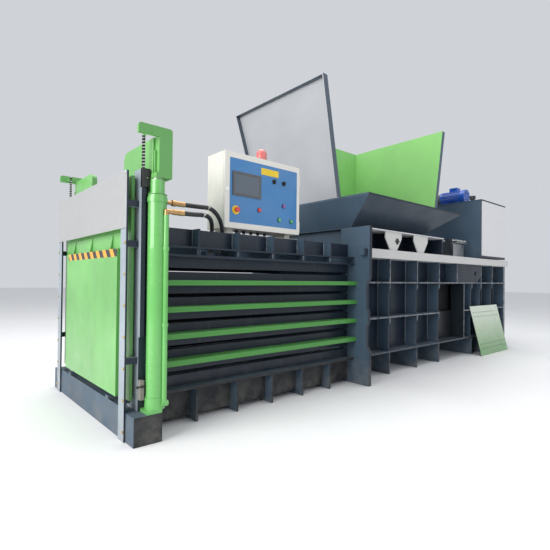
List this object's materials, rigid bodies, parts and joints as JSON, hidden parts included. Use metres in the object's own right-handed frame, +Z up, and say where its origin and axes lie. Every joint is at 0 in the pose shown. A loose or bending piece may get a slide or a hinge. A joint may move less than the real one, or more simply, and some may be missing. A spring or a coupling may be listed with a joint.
{
  "type": "recycling baler",
  "caption": "Horizontal closed-gate hydraulic baler: lifting bale gate, slotted chamber, ram, feed hopper, oil tank with motor and control cabinet.",
  "frame": {"origin": "middle of the footprint, on the ground", "axes": "+X from the bale gate towards the oil tank, +Y to the far side, +Z up"},
  "size_m": [6, 1.8288, 3],
  "materials": {
    "paint_bluegrey": "satin",
    "paint_green": "satin",
    "paint_pale": "satin",
    "hopper_paint": "satin",
    "galvanised": "satin",
    "black_steel": "satin",
    "wear_steel": "satin",
    "hard_chrome": "polished",
    "zinc_fitting": "satin",
    "hose_rubber": "matte",
    "motor_blue": "gloss",
    "motor_iron": "matte",
    "panel_blue": "satin",
    "switchgear": "matte",
    "screen_glass": "gloss",
    "red_plastic": "gloss",
    "green_plastic": "gloss",
    "grey_plastic": "matte",
    "beacon_red": "gloss"
  },
  "bodies": {
    "root": {"base_beam": "paint_bluegrey", "beacon_lamp": "beacon_red", "cabinet_body": "paint_pale", "cabinet_gear": "switchgear", "chamber_beams": "paint_bluegrey", "chamber_roof": "paint_bluegrey", "floor_bearers": "paint_bluegrey", "floor_plates": "paint_bluegrey", "gate_columns": "paint_bluegrey", "gate_guide_strips": "paint_bluegrey", "head_plate": "galvanised", "hopper_back_wall": "hopper_paint", "hopper_front_wall": "hopper_paint", "hopper_rear_wall": "hopper_paint", "hopper_seat": "paint_pale", "hose_fittings": "zinc_fitting", "hose_lower": "hose_rubber", "hose_upper": "hose_rubber", "lift_barrels": "paint_green", "limit_switch": "grey_plastic", "long_beams": "paint_pale", "loose_cover_plate": "paint_green", "lower_hopper": "paint_bluegrey", "main_barrel": "black_steel", "motor_body": "motor_blue", "oil_pump": "motor_blue", "oil_tank": "paint_bluegrey", "portal_frame": "paint_bluegrey", "press_ribs": "paint_bluegrey", "press_roof": "paint_bluegrey", "press_walls": "paint_bluegrey", "rack_guides": "black_steel", "roof_ribs": "paint_bluegrey", "seat_gussets": "paint_pale", "stanchions": "paint_bluegrey", "tank_breather": "grey_plastic", "tank_side_panel": "paint_pale", "tying_rails": "paint_green", "valve_manifold": "zinc_fitting"},
    "gate": {"gate_frame": "paint_green", "gate_cover": "paint_green", "lift_heads": "paint_green", "lift_rods": "hard_chrome", "gate_racks": "black_steel"},
    "ram": {"ram_body": "paint_bluegrey", "ram_wear_parts": "wear_steel", "main_rod": "hard_chrome"},
    "door": {"cabinet_door": "panel_blue", "operator_screen": "screen_glass"},
    "stop_head": {"e_stop_button": "red_plastic"},
    "button_1": {"push_button_1": "red_plastic"},
    "button_2": {"push_button_2": "green_plastic"},
    "button_3": {"push_button_3": "green_plastic"},
    "button_4": {"push_button_4": "green_plastic"},
    "knob_1": {"selector_1": "grey_plastic"},
    "knob_2": {"selector_2": "grey_plastic"},
    "rotor": {"motor_rotor": "motor_iron"},
    "roller_near": {"rack_roller_near": "black_steel"},
    "roller_far": {"rack_roller_far": "black_steel"},
    "switch_lever": {"limit_switch_lever": "grey_plastic"}
  },
  "joints": [
    {"name": "gate_lift", "type": "slide", "parent": "root", "child": "gate", "axis": [0, 0, 1], "range_m": [0, 0.95]},
    {"name": "ram_stroke", "type": "slide", "parent": "root", "child": "ram", "axis": [-1, 0, 0], "range_m": [0, 1.4]},
    {"name": "cabinet_door_hinge", "type": "hinge", "parent": "root", "child": "door", "pos_m": [-1.352, -0.59, 1.7], "axis": [0, 0, 1], "range_deg": [0, 110]},
    {"name": "stop_press", "type": "slide", "parent": "door", "child": "stop_head", "axis": [0, 1, 0], "range_m": [0, 0.005]},
    {"name": "button_1_press", "type": "slide", "parent": "door", "child": "button_1", "axis": [0, 1, 0], "range_m": [0, 0.004], "stiffness_N_per_m": 400},
    {"name": "button_2_press", "type": "slide", "parent": "door", "child": "button_2", "axis": [0, 1, 0], "range_m": [0, 0.004], "stiffness_N_per_m": 400},
    {"name": "button_3_press", "type": "slide", "parent": "door", "child": "button_3", "axis": [0, 1, 0], "range_m": [0, 0.004], "stiffness_N_per_m": 400},
    {"name": "button_4_press", "type": "slide", "parent": "door", "child": "button_4", "axis": [0, 1, 0], "range_m": [0, 0.004], "stiffness_N_per_m": 400},
    {"name": "selector_1_turn", "type": "hinge", "parent": "door", "child": "knob_1", "pos_m": [-1.66, -0.6, 1.83], "axis": [0, 1, 0], "range_deg": [-45, 45]},
    {"name": "selector_2_turn", "type": "hinge", "parent": "door", "child": "knob_2", "pos_m": [-1.55, -0.6, 1.83], "axis": [0, 1, 0], "range_deg": [-45, 45]},
    {"name": "motor_spin", "type": "hinge", "parent": "root", "child": "rotor", "pos_m": [2.55, -0.1, 2.33], "axis": [0, 1, 0], "continuous": true},
    {"name": "roller_near_turn", "type": "hinge", "parent": "root", "child": "roller_near", "pos_m": [-2.8777, -0.798, 1.622], "axis": [0, 1, 0], "range_deg": [0, 3820]},
    {"name": "roller_far_turn", "type": "hinge", "parent": "root", "child": "roller_far", "pos_m": [-2.8777, 0.798, 1.622], "axis": [0, 1, 0], "range_deg": [0, 3820]},
    {"name": "switch_lever_turn", "type": "hinge", "parent": "root", "child": "switch_lever", "pos_m": [-2.898, -0.825, 0.335], "axis": [0, 1, 0], "range_deg": [-25, 25], "stiffness_Nm_per_rad": 0.5}
  ],
  "couplings": [
    {"joint": "roller_near_turn", "follows": "gate_lift", "rad_per_m": 69.93},
    {"joint": "roller_far_turn", "follows": "gate_lift", "rad_per_m": 69.93}
  ]
}
